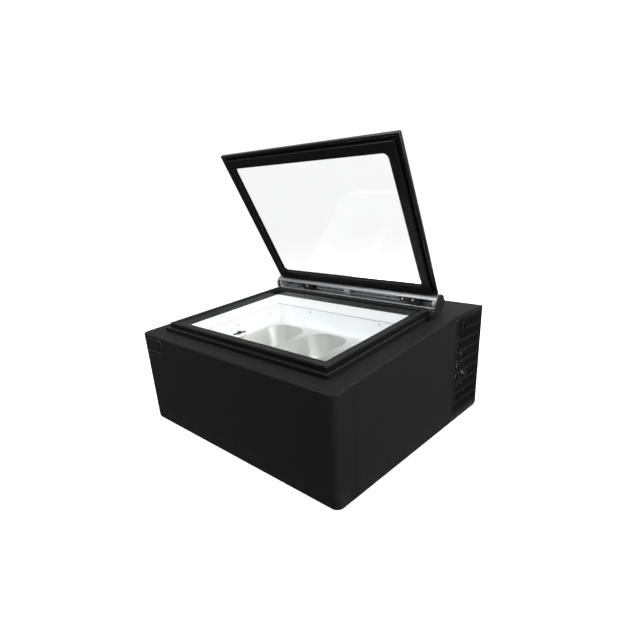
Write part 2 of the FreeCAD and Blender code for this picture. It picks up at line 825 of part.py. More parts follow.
def build_fan():
    """Twisted blades about a hub with a bore that runs on the motor shaft."""
    y, z = at(fan_depth), fan_height
    hub = cyl(15, (fan_plane - 18, 0, 0), (1, 0, 0), 16)
    pieces = [hub]
    for i in range(blade_count):
        blade = box(-1.0, 1.0, -17, 17, 12, fan_radius)
        blade = turned(blade, 28, (0, 0, 0), (0, 0, 1))
        tip = cyl(fan_radius, (-20, 0, 0), (1, 0, 0), 40)
        blade = blade.common(tip)
        blade = moved(blade, fan_plane - 10, 0, 0)
        pieces.append(turned(blade, i * 360 / blade_count, (0, 0, 0), (1, 0, 0)))
    fan = fuse(pieces)
    fan = fan.cut(cyl(3.05, (fan_plane - 30, 0, 0), (1, 0, 0), 25))
    return moved(fan, 0, y, z)


guard_gap = 8.0
guard_reach = 65.6
wire_radius = 1.2
spoke_radius = 1.4
guard_foot_radius = 2.0


def build_guard():
    """Wire rings on eight spokes, on four feet that stand on the shroud."""
    y, z = at(fan_depth), fan_height
    ring_x = fan_plane + guard_gap
    spoke_x = ring_x - 2.0
    shroud_face = fan_plane - 24.5
    wires = [Part.makeTorus(r, wire_radius, V(ring_x, 0, 0), V(1, 0, 0)) for r in (16, 30, 44, 58)]
    for i in range(8):
        has_foot = i % 2 == 0
        reach = guard_reach if has_foot else 62.0
        wire = cyl(spoke_radius, (spoke_x, 0, 14), (0, 0, 1), reach - 14)
        if has_foot:
            foot_length = spoke_x + 3.0 - shroud_face
            foot = cyl(guard_foot_radius, (shroud_face, 0, guard_reach), (1, 0, 0), foot_length)
            wire = fuse([wire, foot])
        wires.append(turned(wire, 22.5 + 45 * i, (0, 0, 0), (1, 0, 0)))
    return moved(fuse(wires), 0, y, z)


def build_drier():
    y = at(500)
    body = cyl(10, (150, y, 60), (0, 0, 1), 78)
    ends = [e for e in body.Edges if abs(e.Length - 2 * math.pi * 10) < 0.1]
    body = body.makeFillet(6, ends)
    stand = box(138, 162, y - 12, y - 10, ground, 100)
    arm = box(146, 154, y - 12, y - 6, 84, 92)
    return fuse([body, arm, stand])


def build_lines():
    """Suction and discharge tubes from the compressor."""
    y = at(compressor_depth)
    shell_top = ground + mount_height + 3 + 118
    wall = at(machine_front)
    suction = tube_path([(compressor_x - 20, y, shell_top), (compressor_x - 20, y, 210), (-40, y, 210),
                         (-40, wall + 18, 210), (-40, wall + 18, 60), (-40, wall - 6.5, 60)], 4.0, 12.0)
    discharge = tube_path([(compressor_x + 20, y, shell_top), (compressor_x + 20, y, 180),
                           (150, y, 180), (150, at(500), 180), (150, at(500), 138)], 3.0, 12.0)
    return Part.makeCompound([suction, discharge])


def build_wiring_box():
    y0, y1 = at(560), at(612)
    shell = slab(20, 120, y0, y1, ground, 96, 4)
    shell = shell.cut(slab(22, 118, y0 + 2, y1 - 2, ground + 2, 94, 3))
    lid_line = ring_box(19.4, 120.6, y0 - 0.6, y1 + 0.6, 70, 72)
    return fuse([shell, lid_line])


def ring_box(x0, x1, y0, y1, z0, z1):
    outer = slab(x0, x1, y0, y1, z0, z1, 4)
    return outer.cut(slab(x0 + 1, x1 - 1, y0 + 1, y1 - 1, z0 - 1, z1 + 1, 3))


# ================================================================ hinge
plate_x = tube_half - 6.0
pin_radius = 5.0
pin_play = 0.05
bush_radius = 7.0
bracket_xs = (-186.0, 214.0)
bracket_width = 52.0
bar_radius = 2.5
bar_offset = 3.4
anchor_x = -5.0


def build_rail():
    """The fixed trough under the hinge axis, on feet that stand on the deck."""
    trough = arc_band(rail_radius - 2, rail_radius, rail_from, rail_to, -plate_x - 3, plate_x + 3)
    lip_a = math.radians(rail_to)
    y_lip, z_lip = -(rail_radius - 1) * math.cos(lip_a), (rail_radius - 1) * math.sin(lip_a)
    lip = cyl(1.0, (-plate_x - 3, y_lip, z_lip), (1, 0, 0), 2 * (plate_x + 3))
    core = cyl(rail_radius - 1, (-plate_x - 10, 0, 0), (1, 0, 0), 2 * plate_x + 20)
    pads = []
    for x in (-plate_x + 30, -60, 90, plate_x - 30):
        pads.append(box(x - 20, x + 20, -9, 9, -40, -10))
    pads = fuse([p.cut(core) for p in pads])
    rail = at_hinge(fuse([trough, lip, pads]))
    under_deck = cabinet_solid(0, panel_bottom)
    return rail.cut(under_deck)


def build_end_plates():
    plates = []
    for side in (-1, 1):
        x0 = side * plate_x - 3
        disc = cyl(rail_radius - 2, (x0, 0, 0), (1, 0, 0), 6)
        disc = disc.cut(cyl(bush_radius, (x0 - 1, 0, 0), (1, 0, 0), 8))
        plates.append(at_hinge(disc))
    return Part.makeCompound(plates)


def build_bushes():
    bushes = []
    for side in (-1, 1):
        x0 = side * plate_x - 3
        bush = cyl(bush_radius, (x0, 0, 0), (1, 0, 0), 6)
        bush = bush.cut(cyl(pin_radius + pin_play, (x0 - 1, 0, 0), (1, 0, 0), 8))
        bushes.append(at_hinge(bush))
    return Part.makeCompound(bushes)


def build_pins():
    pins = []
    for side in (-1, 1):
        x0, x1 = sorted((side * tube_half, side * (plate_x - 9)))
        pins.append(at_hinge(cyl(pin_radius, (x0, 0, 0), (1, 0, 0), x1 - x0)))
    return Part.makeCompound(pins)


def build_brackets():
    """A screwed plate, a socket for the bars and a leg down to the rail, twice."""
    inside = cyl(rail_radius - 2, (-tube_half, 0, 0), (1, 0, 0), 2 * tube_half)
    brackets = []
    for x in bracket_xs:
        left = x - bracket_width / 2
        plate = box(left, left + bracket_width, -15, -12, -3.5, 9.5)
        socket = box(left + bracket_width - 16, left + bracket_width + 10, -13, 6, -8, 7)
        leg = prism_y([(left + 22, -3.5), (left + bracket_width, -3.5), (left + bracket_width + 14, -20),
                       (left + bracket_width - 8, -20)], -15, -6)
        body = fuse([plate, socket, leg]).common(inside)
        bore = cyl(6.0, (left + bracket_width, 0, 0), (1, 0, 0), 20)
        if x > 0:
            bore = cyl(6.0, (left + bracket_width - 20, 0, 0), (1, 0, 0), 16)
        brackets.append(at_hinge(body.cut(bore)))
    return Part.makeCompound(brackets)


def prism_y(points, y0, y1):
    """Extrude an (x, z) outline along Y."""
    wire = Part.makePolygon([V(x, y0, z) for x, z in points + [points[0]]])
    return Part.Face(wire).extrude(V(0, y1 - y0, 0))


def build_bracket_screws():
    heads = []
    for x in bracket_xs:
        left = x - bracket_width / 2
        for offset in (10.0, 43.0):
            heads.append(at_hinge(screw((left + offset, -15, 3.0), (0, -1, 0), 3.2, 1.8)))
    return Part.makeCompound(heads)


def build_bars():
    """A pair of torsion bars from each bracket to the middle."""
    left_socket = bracket_xs[0] + bracket_width / 2
    right_socket = bracket_xs[1] + bracket_width / 2 - 4
    bars = []
    for x0, x1 in ((left_socket, anchor_x - 2), (anchor_x + 2, right_socket)):
        for offset in (-bar_offset, bar_offset):
            bars.append(at_hinge(cyl(bar_radius, (x0, 0, offset), (1, 0, 0), x1 - x0)))
    return Part.makeCompound(bars)


def build_anchor():
    """A block under the cover's roof that holds the inner ends of the bars."""
    roof = cyl(tube_radius - tube_wall, (anchor_x - 30, 0, 0), (1, 0, 0), 60)
    block = box(anchor_x - 13, anchor_x + 13, -10, 8, -9, 30)
    block = block.cut(cyl(7.5, (anchor_x - 20, 0, 0), (1, 0, 0), 40)).common(roof)
    boss = screw((anchor_x, -10, 8.0), (0, -1, 0), 3.4, 2.0)
    return at_hinge(fuse([block, boss]))


def build_cover():
    """The moving half tube that carries the lid, with a rounded lip on its front edge."""
    band = arc_band(tube_radius - tube_wall, tube_radius, cover_from, cover_to, -tube_half, tube_half)
    lip_a = math.radians(cover_from)
    r = tube_radius - tube_wall / 2
    lip_start = (-tube_half, -r * math.cos(lip_a), r * math.sin(lip_a))
    lip = cyl(tube_wall / 2, lip_start, (1, 0, 0), 2 * tube_half)
    return at_hinge(fuse([band, lip]))


def build_caps():
    caps = []
    for side in (-1, 1):
        x0, x1 = sorted((side * tube_half, side * (tube_half + cap_thickness)))
        disc = cyl(tube_radius, (x0, 0, 0), (1, 0, 0), x1 - x0)
        outer = V(side * (tube_half + cap_thickness), 0, 0)
        rim = [e for e in disc.Edges if (e.CenterOfMass - outer).Length < 0.01]
        caps.append(at_hinge(disc.makeFillet(1.5, rim)))
    return Part.makeCompound(caps)


# ================================================================ lid, drawn flat and reaching towards -Y
lid_top = lid_under + lid_thickness
rail_end = 30.0               # hinge axis to the front of the lid's rear rail


def build_lid_frame():
    outer = slab(-lid_half_width, lid_half_width, -lid_reach, -12, lid_under, lid_top, 3)
    hole = slab(-lid_half_width + lid_bar, lid_half_width - lid_bar, -lid_reach + lid_bar, -rail_end,
                lid_under - 1, lid_top + 1, 2)
    tube = cyl(tube_radius, (-half_width, 0, 0), (1, 0, 0), width)
    frame = outer.cut(hole).cut(tube)
    edges = []
    for e in frame.Edges:
        b = e.BoundBox
        flat = b.ZLength < 0.01 and min(abs(b.ZMin - lid_under), abs(b.ZMin - lid_top)) < 0.01
        side = b.XLength < 0.01 and abs(abs(b.XMin) - lid_half_width) < 0.01
        end = b.YLength < 0.01 and abs(b.YMin + lid_reach) < 0.01
        if flat and (side or end) and e.Length > 50:
            edges.append(e)
    return on_lid(frame.makeChamfer(0.8, edges))


def lid_fill(z0, z1, gap=0.0):
    """A plate that fills the frame."""
    return slab(-lid_half_width + lid_bar + gap, lid_half_width - lid_bar - gap,
                -lid_reach + lid_bar + gap, -rail_end - gap, z0, z1, 2)


def window_cut(z0, z1):
    return slab(-lid_half_width + lid_band, lid_half_width - lid_band,
                -lid_reach + lid_band, -window_start, z0, z1, window_radius)


def build_lid():
    lower = lid_fill(lid_under, lid_under + pane)
    upper = lid_fill(lid_top - pane, lid_top)
    spacer = lid_fill(lid_under + pane, lid_top - pane).cut(window_cut(-50, 50))
    band = lid_fill(lid_under - gasket_height, lid_under, 0.8).cut(window_cut(-50, 50))
    foot = [e for e in band.Edges if e.BoundBox.ZMax < lid_under - gasket_height + 0.01 and e.Length > 5]
    band = band.makeChamfer(1.2, foot)
    return on_lid(lower), on_lid(upper), on_lid(spacer), on_lid(band)


# ================================================================ write the nodes
def nodes():
    deck, cover, fascia, sides, back = build_shell()
    lower, upper, spacer, band = build_lid()
    rim = build_rim()
    made = {
        "base_pan": build_base(),
        "rubber_feet": build_feet(),
        "front_fascia": fascia,
        "top_deck": deck,
        "rear_top_cover": cover,
        "side_panel_left": sides[0],
        "side_panel_right": sides[1],
        "grille_left": build_grille(-1),
        "grille_right": build_grille(1),
        "rear_panel": build_rear_panel(back),
        "panel_screws": build_panel_screws(),
        "rim_frame": rim,
        "rim_gasket": build_rim_gasket(),
        "rim_corner_blocks": build_corner_blocks(),
        "led_strip": build_led(),
        "liner_collar": build_collar().cut(rim),
        "liner_tank": build_tank(),
        "liner_screws": build_liner_screws(),
        "temperature_probe": build_probe(),
        "evaporator_coil": build_evaporator(),
        "insulation_shell": build_foam(),
        "pan_frame": build_pan_frame(),
        "controller_body": build_controller(),
        "controller_lens": build_lens(),
        "switch_bezel": build_switch_bezel(),
        "power_rocker": build_rocker(),
        "power_inlet": build_inlet(),
        "machine_bulkhead": build_bulkhead(),
        "compressor": build_compressor(),
        "compressor_mounts": build_mounts(),
        "condenser_coil": build_condenser(),
        "fan_shroud": build_shroud(),
        "fan_motor": build_motor(),
        "fan_blade": build_fan(),
        "fan_guard": build_guard(),
        "filter_drier": build_drier(),
        "refrigerant_lines": build_lines(),
        "wiring_box": build_wiring_box(),
        "hinge_rail": build_rail(),
        "hinge_end_plates": build_end_plates(),
        "hinge_bushes": build_bushes(),
        "torsion_bars": build_bars(),
        "torsion_brackets": build_brackets(),
        "bracket_screws": build_bracket_screws(),
        "hinge_cover": build_cover(),
        "end_caps": build_caps(),
        "hinge_pins": build_pins(),
        "centre_anchor": build_anchor(),
        "lid_frame": build_lid_frame(),
        "lid_gasket": band,
        "glass_lower": lower,
        "glass_upper": upper,
        "glass_spacer": spacer,
    }
    for i, name in enumerate(("pan_left", "pan_middle", "pan_right")):
        made[name] = build_pan(i)
    for i, name in enumerate(("button_set", "button_up", "button_down", "button_light")):
        made[name] = build_button(i)
    return made


for name, shape in nodes().items():
    solids = shape.Solids
    kept = solids[0] if len(solids) == 1 else Part.makeCompound(solids)
    kept.exportStep(os.path.join("parts", name + ".step"))
    b = kept.BoundBox
    print(name, len(solids), "valid" if kept.isValid() else "INVALID", round(kept.Volume / 1000, 2),
          [round(v, 1) for v in (b.XMin, b.XMax, b.YMin, b.YMax, b.ZMin, b.ZMax)])
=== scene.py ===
import json
import math

import bmesh
import bpy
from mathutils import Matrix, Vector


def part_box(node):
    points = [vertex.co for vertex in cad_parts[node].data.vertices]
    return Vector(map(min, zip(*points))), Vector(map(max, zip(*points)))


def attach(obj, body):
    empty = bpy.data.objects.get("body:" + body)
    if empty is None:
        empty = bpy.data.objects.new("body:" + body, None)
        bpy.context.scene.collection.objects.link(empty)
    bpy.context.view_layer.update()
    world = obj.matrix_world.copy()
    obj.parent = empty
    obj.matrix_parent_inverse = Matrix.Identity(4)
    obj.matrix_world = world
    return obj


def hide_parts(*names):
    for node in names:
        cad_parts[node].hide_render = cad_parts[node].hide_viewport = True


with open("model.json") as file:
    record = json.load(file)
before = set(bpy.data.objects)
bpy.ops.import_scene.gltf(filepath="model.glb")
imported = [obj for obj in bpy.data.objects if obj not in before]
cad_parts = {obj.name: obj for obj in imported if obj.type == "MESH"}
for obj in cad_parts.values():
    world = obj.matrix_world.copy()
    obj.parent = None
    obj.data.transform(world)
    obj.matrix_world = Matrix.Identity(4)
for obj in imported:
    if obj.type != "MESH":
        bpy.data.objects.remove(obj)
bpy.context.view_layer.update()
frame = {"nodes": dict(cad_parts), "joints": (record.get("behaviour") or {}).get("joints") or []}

NODES = frame["nodes"]
MM = 0.001


# ------------------------------------------------------------------ materials
class Surface:
    """One node material. Its textures are laid out in metres, in the row frame."""

    def __init__(self, name, colour, rough, metal=0.0, specular=0.5):
        self.material = bpy.data.materials.new(name)
        self.material.use_nodes = True
        self.tree = self.material.node_tree
        self.shader = self.tree.nodes["Principled BSDF"]
        self.place = self.tree.nodes.new("ShaderNodeTexCoord").outputs["Object"]
        self.base = colour
        self.height = None
        self.set("Base Color", (*colour, 1.0))
        self.set("Roughness", rough)
        self.set("Metallic", metal)
        self.set("Specular IOR Level", specular)

    def set(self, socket, value):
        self.shader.inputs[socket].default_value = value
        return self

    def add(self, kind, **inputs):
        node = self.tree.nodes.new(kind)
        for key, value in inputs.items():
            socket = node.inputs[key.replace("_", " ")]
            if isinstance(value, bpy.types.NodeSocket):
                self.tree.links.new(value, socket)
            else:
                socket.default_value = value
        return node

    def link(self, output, socket):
        self.tree.links.new(output, self.shader.inputs[socket])

    def stretched(self, stretch, turn=(0, 0, 0)):
        mapping = self.add("ShaderNodeMapping", Vector=self.place, Scale=stretch)
        mapping.inputs["Rotation"].default_value = turn
        return mapping.outputs[0]

    def noise(self, scale, detail=2.0, stretch=None, turn=(0, 0, 0)):
        """Noise with spots about 1/scale metres apart, drawn out along axes with small factors."""
        place = self.place if stretch is None else self.stretched(stretch, turn)
        return self.add("ShaderNodeTexNoise", Vector=place, Scale=scale, Detail=detail).outputs["Fac"]

    def spread(self, value, low, high, out_low=0.0, out_high=1.0):
        return self.add("ShaderNodeMapRange", Value=value, From_Min=low, From_Max=high,
                        To_Min=out_low, To_Max=out_high).outputs[0]

    def maths(self, operation, a, b=0.0):
        node = self.tree.nodes.new("ShaderNodeMath")
        node.operation = operation
        for socket, value in zip(node.inputs, (a, b)):
            if isinstance(value, bpy.types.NodeSocket):
                self.tree.links.new(value, socket)
            else:
                socket.default_value = value
        return node.outputs[0]

    def mix(self, share, a, b):
        node = self.tree.nodes.new("ShaderNodeMix")
        node.data_type = "RGBA"
        for socket, value in ((node.inputs[0], share), (node.inputs[6], a), (node.inputs[7], b)):
            if isinstance(value, bpy.types.NodeSocket):
                self.tree.links.new(value, socket)
            elif isinstance(value, (tuple, list)):
                socket.default_value = (*value, 1.0)
            else:
                socket.default_value = value
        return node.outputs[2]

    def axis(self, letter):
        parts = self.add("ShaderNodeSeparateXYZ", Vector=self.place)
        return parts.outputs[letter]

    def bump(self, value, depth, strength=1.0):
        """Adds a relief of that depth in metres."""
        node = self.add("ShaderNodeBump", Height=value, Distance=depth, Strength=strength)
        if self.height is not None:
            self.tree.links.new(self.height, node.inputs["Normal"])
        self.height = node.outputs[0]
        self.link(self.height, "Normal")
        return self

    def mottle(self, scale, amount, lighter=None):
        """Varies the colour in soft clouds. Returns the colour socket."""
        cloud = self.spread(self.noise(scale, 3.0), 0.32, 0.68)
        dark = tuple(c * (1 - amount) for c in self.base)
        light = lighter or tuple(min(1.0, c * (1 + amount)) for c in self.base)
        return self.mix(cloud, dark, light)

    def finish(self, colour=None, rough=None):
        if colour is not None:
            self.link(colour, "Base Color")
        if rough is not None:
            self.link(rough, "Roughness")
        return self.material


def powder_coat(name, colour, rough=0.55, specular=0.12, dust=0.25):
    """Satin powder coat: fine orange peel, soft clouds, and dust that settles on the lowest parts."""
    s = Surface(name, colour, rough, specular=specular)
    peel = s.noise(900, 2.0)
    clouds = s.mottle(9, 0.04)
    sparkle = s.spread(s.noise(2600, 0.0), 0.66, 0.78)
    colour_out = s.mix(s.maths("MULTIPLY", sparkle, 0.35), clouds, tuple(c * 3 + 0.01 for c in colour))
    low = s.spread(s.axis("Z"), 0.06, 0.0)
    grime = s.maths("MULTIPLY", s.maths("MULTIPLY", low, s.spread(s.noise(38, 4.0), 0.42, 0.7)), dust)
    colour_out = s.mix(grime, colour_out, (0.10, 0.095, 0.085))
    handled = s.spread(s.noise(14, 4.0), 0.35, 0.7, rough - 0.02, rough + 0.03)
    s.bump(peel, 0.00009, 0.55)
    return s.finish(colour_out, s.maths("ADD", handled, s.maths("MULTIPLY", grime, 0.3)))


def moulded(name, colour, rough=0.38, specular=0.5, grain=1400, depth=0.00004, amount=0.08):
    """Smooth plastic or coated metal with a fine grain and a few faint scuffs."""
    s = Surface(name, colour, rough, specular=specular)
    clouds = s.mottle(22, amount)
    scuff = s.spread(s.noise(260, 3.0, (1.0, 0.06, 1.0), turn=(0.2, 0.1, 0.9)), 0.66, 0.72)
    colour_out = s.mix(s.maths("MULTIPLY", scuff, 0.12), clouds, tuple(c * 0.6 + 0.12 for c in colour))
    rough_out = s.maths("ADD", s.spread(s.noise(30, 4.0), 0.3, 0.7, rough - 0.05, rough + 0.07),
                        s.maths("MULTIPLY", scuff, 0.12))
    s.bump(s.noise(grain, 1.0), depth, 0.5)
    return s.finish(colour_out, rough_out)


def rubber(name, colour, rough=0.75):
    s = Surface(name, colour, rough, specular=0.25)
    bloom = s.spread(s.noise(45, 4.0), 0.45, 0.75)
    colour_out = s.mix(s.maths("MULTIPLY", bloom, 0.22), s.mottle(30, 0.12), tuple(c + 0.05 for c in colour))
    s.bump(s.noise(700, 3.0), 0.00006, 0.5)
    return s.finish(colour_out, s.spread(s.noise(60, 2.0), 0.3, 0.7, rough - 0.08, rough + 0.08))


def brushed(name, colour, along, rough=0.26, streak=0.06, fine=1500, amount=0.06):
    """Metal with fine lines along one axis, 'along' being 0, 1 or 2, and soft handling marks."""
    s = Surface(name, colour, rough, metal=1.0)
    stretch = [1.0, 1.0, 1.0]
    stretch[along] = 0.02
    lines = s.noise(fine, 2.0, stretch)
    broad = s.noise(fine / 12, 2.0, stretch)
    dark = tuple(c * (1 - amount) for c in colour)
    light = tuple(min(1.0, c * (1 + amount)) for c in colour)
    colour_out = s.mix(s.spread(broad, 0.3, 0.7), dark, light)
    smear = s.spread(s.noise(18, 4.0), 0.35, 0.75, 0.0, 0.10)
    rough_out = s.maths("ADD", s.spread(lines, 0.3, 0.7, rough - streak, rough + streak), smear)
    s.bump(lines, 0.00001, 0.35)
    return s.finish(colour_out, rough_out)


def bright_metal(name, colour, rough=0.16, tint=None):
    """Plated or drawn metal with faint cloudiness and small pits."""
    s = Surface(name, colour, rough, metal=1.0)
    clouds = s.mottle(70, 0.10, tint)
    s.bump(s.noise(500, 3.0), 0.00002, 0.4)
    return s.finish(clouds, s.spread(s.noise(120, 4.0), 0.3, 0.75, rough, rough + 0.16))


def enamel_white(name, colour, rough=0.32):
    """Smooth white coat, very slightly wavy, with faint grey smears."""
    s = Surface(name, colour, rough, specular=0.45)
    smear = s.spread(s.noise(11, 4.0, (1.0, 1.0, 0.35)), 0.5, 0.8)
    colour_out = s.mix(s.maths("MULTIPLY", smear, 0.05), s.mottle(5, 0.012), tuple(c * 0.86 for c in colour))
    s.bump(s.noise(60, 1.0), 0.00008, 0.25)
    return s.finish(colour_out, s.spread(s.noise(40, 3.0), 0.3, 0.7, rough - 0.05, rough + 0.08))


def clear_glass(name):
    """Clear pane: nearly all passes straight through, and a sharp reflection grows at a slant."""
    s = Surface(name, (0.02, 0.022, 0.022), 0.03, specular=0.5)
    clear = s.add("ShaderNodeBsdfTransparent", Color=(0.966, 0.9675, 0.967, 1.0))
    haze = s.spread(s.noise(9, 4.0, (1.0, 0.25, 1.0), turn=(0.0, 0.4, 0.6)), 0.45, 0.85, 0.008, 0.03)
    gloss = s.add("ShaderNodeBsdfGlossy", Color=(1.0, 1.0, 1.0, 1.0), Roughness=haze)
    slant = s.add("ShaderNodeLayerWeight", Blend=0.5).outputs["Facing"]
    share = s.maths("ADD", s.maths("MULTIPLY", s.maths("POWER", slant, 4.0), 0.14), 0.008)
    mixed = s.add("ShaderNodeMixShader", Fac=share)
    s.tree.links.new(clear.outputs[0], mixed.inputs[1])
    s.tree.links.new(gloss.outputs[0], mixed.inputs[2])
    s.tree.links.new(mixed.outputs[0], s.tree.nodes["Material Output"].inputs["Surface"])
    return s.material


def foam(name, colour):
    """Rigid foam: closed cells with a smoother skin."""
    s = Surface(name, colour, 0.85, specular=0.2)
    cells = s.add("ShaderNodeTexVoronoi", Vector=s.place, Scale=420.0).outputs["Distance"]
    s.bump(cells, 0.0006, 0.8)
    return s.finish(s.mix(s.spread(cells, 0.0, 0.6), tuple(c * 0.7 for c in colour), colour))


def glowing(name, colour, strength):
    """A lit, slightly uneven frosted surface."""
    s = Surface(name, colour, 0.4)
    lamps = s.spread(s.noise(60, 0.0), 0.3, 0.7, 0.86, 1.0)
    s.set("Emission Color", (*colour, 1.0)).set("Emission Strength", strength)
    s.bump(s.noise(900, 1.0), 0.00004, 0.4)
    return s.finish(s.mix(lamps, tuple(c * 0.9 for c in colour), colour))


CABINET = powder_coat("cabinet_powder_coat", (0.0085, 0.0085, 0.0087), dust=0.08)
BASE = powder_coat("base_powder_coat", (0.010, 0.010, 0.0105), 0.6, 0.22, dust=0.15)
# The grilles' coat is darker than the cabinet's: painted shade standing in for the shade down in the
# recessed slots.
SHADED_GRILLE = powder_coat("grille_painted_shade", (0.0050, 0.0050, 0.0052), 0.6, 0.10, dust=0.05)
RIM = moulded("rim_satin", (0.0045, 0.0048, 0.0048), 0.34, 0.26, amount=0.1)
RIM_GLOSS = moulded("rim_inner_gloss", (0.0045, 0.0060, 0.0062), 0.16, 0.75, depth=0.000008)
GASKET = rubber("gasket_rubber", (0.012, 0.012, 0.0125))
LINER = enamel_white("liner_enamel", (0.845, 0.875, 0.89))
COLLAR = enamel_white("collar_plastic", (0.90, 0.91, 0.92), 0.5)
# The white caps of the liner screws are coloured grey: painted shade standing in for the small shadows round
# them on the wall.
SHADED_WALL_CAP = moulded("wall_cap_painted_shade", (0.42, 0.43, 0.44), 0.4)
# The pan frame's white enamel is coloured light grey: painted shade standing in for the shade on the ledge
# between the walls and the pans.
SHADED_LEDGE = enamel_white("ledge_enamel_painted_shade", (0.74, 0.76, 0.78), 0.35)
PAN_STEEL = brushed("pan_stainless", (0.81, 0.82, 0.80), 1, 0.36, streak=0.03, fine=2400, amount=0.015)
HINGE_ALUMINIUM = brushed("hinge_anodised", (0.33, 0.335, 0.345), 0, 0.46, fine=1100, amount=0.04)
RAIL_ALUMINIUM = brushed("rail_anodised", (0.74, 0.75, 0.76), 0, 0.55, fine=1100)
LID_BLACK = moulded("lid_black_anodised", (0.0035, 0.0035, 0.0038), 0.20, 0.42, depth=0.00001)
BORDER = moulded("lid_border_black", (0.0030, 0.0030, 0.0034), 0.36, 0.22, depth=0.00001)
GLASS = clear_glass("pane_clear")
CAP = moulded("cap_dark", (0.009, 0.009, 0.010), 0.42, 0.2)
BRACKET = powder_coat("bracket_black", (0.012, 0.012, 0.012), 0.4, 0.4, dust=0.0)
ZINC = bright_metal("zinc_bright", (0.78, 0.79, 0.80), 0.14)
ANCHOR = bright_metal("anchor_zinc_dull", (0.66, 0.66, 0.67), 0.30)
SCREW_DARK = bright_metal("screw_black_oxide", (0.06, 0.06, 0.063), 0.3)
SCREW_BRIGHT = bright_metal("screw_bright", (0.85, 0.85, 0.86), 0.12)
CONTROL = moulded("control_housing", (0.0030, 0.0030, 0.0034), 0.30, 0.12, depth=0.00003)
LENS = moulded("display_lens", (0.0012, 0.0012, 0.0016), 0.10, 0.12, depth=0.000005, amount=0.03)
BUTTON = rubber("button_keys", (0.010, 0.010, 0.011), 0.55)
ROCKER = moulded("rocker_gloss", (0.006, 0.006, 0.006), 0.10, 0.6, depth=0.000008)
FOAM = foam("foam_rigid", (0.80, 0.70, 0.45))
COPPER = bright_metal("copper_drawn", (0.80, 0.42, 0.27), 0.22, (0.62, 0.30, 0.20))
MACHINE = moulded("machine_gloss_paint", (0.012, 0.012, 0.013), 0.28, 0.5, 500, 0.00009)
GALVANISED = bright_metal("galvanised_sheet", (0.62, 0.64, 0.66), 0.34, (0.48, 0.50, 0.52))
FINS = brushed("fin_stock", (0.72, 0.73, 0.74), 2, 0.3)
FAN = moulded("fan_moulding", (0.02, 0.02, 0.022), 0.42)
CHROME_WIRE = bright_metal("wire_chromed", (0.55, 0.55, 0.55), 0.22)
FEET = rubber("feet_rubber", (0.015, 0.015, 0.015), 0.8)
PROBE = moulded("probe_plastic", (0.012, 0.012, 0.012), 0.4)
LED = glowing("led_diffuser", (1.0, 0.985, 0.96), 6.0)
BOX_GREY = moulded("electrical_box", (0.16, 0.165, 0.17), 0.45)
NYLON = moulded("nylon_bush", (0.72, 0.70, 0.64), 0.45)
SEGMENT = moulded("segment_grey", (0.014, 0.014, 0.014), 0.35)
MARK = moulded("key_mark_grey", (0.26, 0.265, 0.27), 0.5)

FINISH = {
    CABINET: "front_fascia top_deck rear_top_cover side_panel_left side_panel_right rear_panel",
    SHADED_GRILLE: "grille_left grille_right",
    BASE: "base_pan", FEET: "rubber_feet compressor_mounts", SCREW_DARK: "panel_screws",
    RIM: "rim_frame rim_corner_blocks", GASKET: "rim_gasket", LED: "led_strip",
    COLLAR: "liner_collar", SHADED_WALL_CAP: "liner_screws", LINER: "liner_tank", SHADED_LEDGE: "pan_frame",
    PROBE: "temperature_probe",
    COPPER: "evaporator_coil filter_drier refrigerant_lines", FOAM: "insulation_shell",
    CONTROL: "controller_body switch_bezel power_inlet", LENS: "controller_lens", ROCKER: "power_rocker",
    GALVANISED: "machine_bulkhead fan_shroud", MACHINE: "compressor fan_motor", FINS: "condenser_coil",
    FAN: "fan_blade", CHROME_WIRE: "fan_guard", BOX_GREY: "wiring_box",
    RAIL_ALUMINIUM: "hinge_rail hinge_end_plates", HINGE_ALUMINIUM: "hinge_cover",
    BRACKET: "torsion_brackets", SCREW_BRIGHT: "bracket_screws",
    NYLON: "hinge_bushes", ZINC: "torsion_bars hinge_pins", ANCHOR: "centre_anchor",
    CAP: "end_caps", LID_BLACK: "lid_frame", BORDER: "lid_gasket glass_spacer",
    GLASS: "glass_lower glass_upper", PAN_STEEL: "pan_left pan_middle pan_right",
    BUTTON: "button_set button_up button_down button_light",
}
for material, names in FINISH.items():
    for name in names.split():
        for material_slot in NODES[name].material_slots:
            material_slot.link = "OBJECT"
            material_slot.material = material


# ------------------------------------------------------------------ pieces
def piece(name, mesh, material, body, bevel=0.0, segments=2):
    """A finished piece from a bmesh already in the row frame."""
    if bevel:
        edges = [e for e in mesh.edges if e.is_manifold and e.calc_face_angle(0) > 0.6]
        bmesh.ops.bevel(mesh, geom=edges, offset=bevel, segments=segments, affect="EDGES", profile=0.5)
    bmesh.ops.recalc_face_normals(mesh, faces=mesh.faces)
    data = bpy.data.meshes.new(name)
    mesh.to_mesh(data)
    mesh.free()
    thing = bpy.data.objects.new(name, data)
    bpy.context.scene.collection.objects.link(thing)
    data.materials.append(material)
    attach(thing, body)
    return thing


def add_prism(mesh, outline, low, high, place):
    """A prism over a closed outline of (a, b), from low to high, put in the frame by place(a, b, c)."""
    bottom = [mesh.verts.new(place(a, b, low)) for a, b in outline]
    top = [mesh.verts.new(place(a, b, high)) for a, b in outline]
    mesh.faces.new(bottom)
    mesh.faces.new(list(reversed(top)))
    for i in range(len(outline)):
        j = (i + 1) % len(outline)
        mesh.faces.new((bottom[i], bottom[j], top[j], top[i]))


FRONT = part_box("front_fascia")[0].y
DECK_FRONT = 252 * MM           # height of the slope's front edge
SLOPE = math.radians(6.496)
LID_ANGLE = math.radians(62.6)  # lid above the horizontal at rest
AXIS = Vector(next(j["pos_m"] for j in frame["joints"] if j["name"] == "lid_hinge"))


def on_slope(x, along, up):
    """A point on the sloped top: millimetres across, along the slope from its front edge, and out of it."""
    return Vector((x * MM, FRONT + (along * math.cos(SLOPE) - up * math.sin(SLOPE)) * MM,
                   DECK_FRONT + (along * math.sin(SLOPE) + up * math.cos(SLOPE)) * MM))


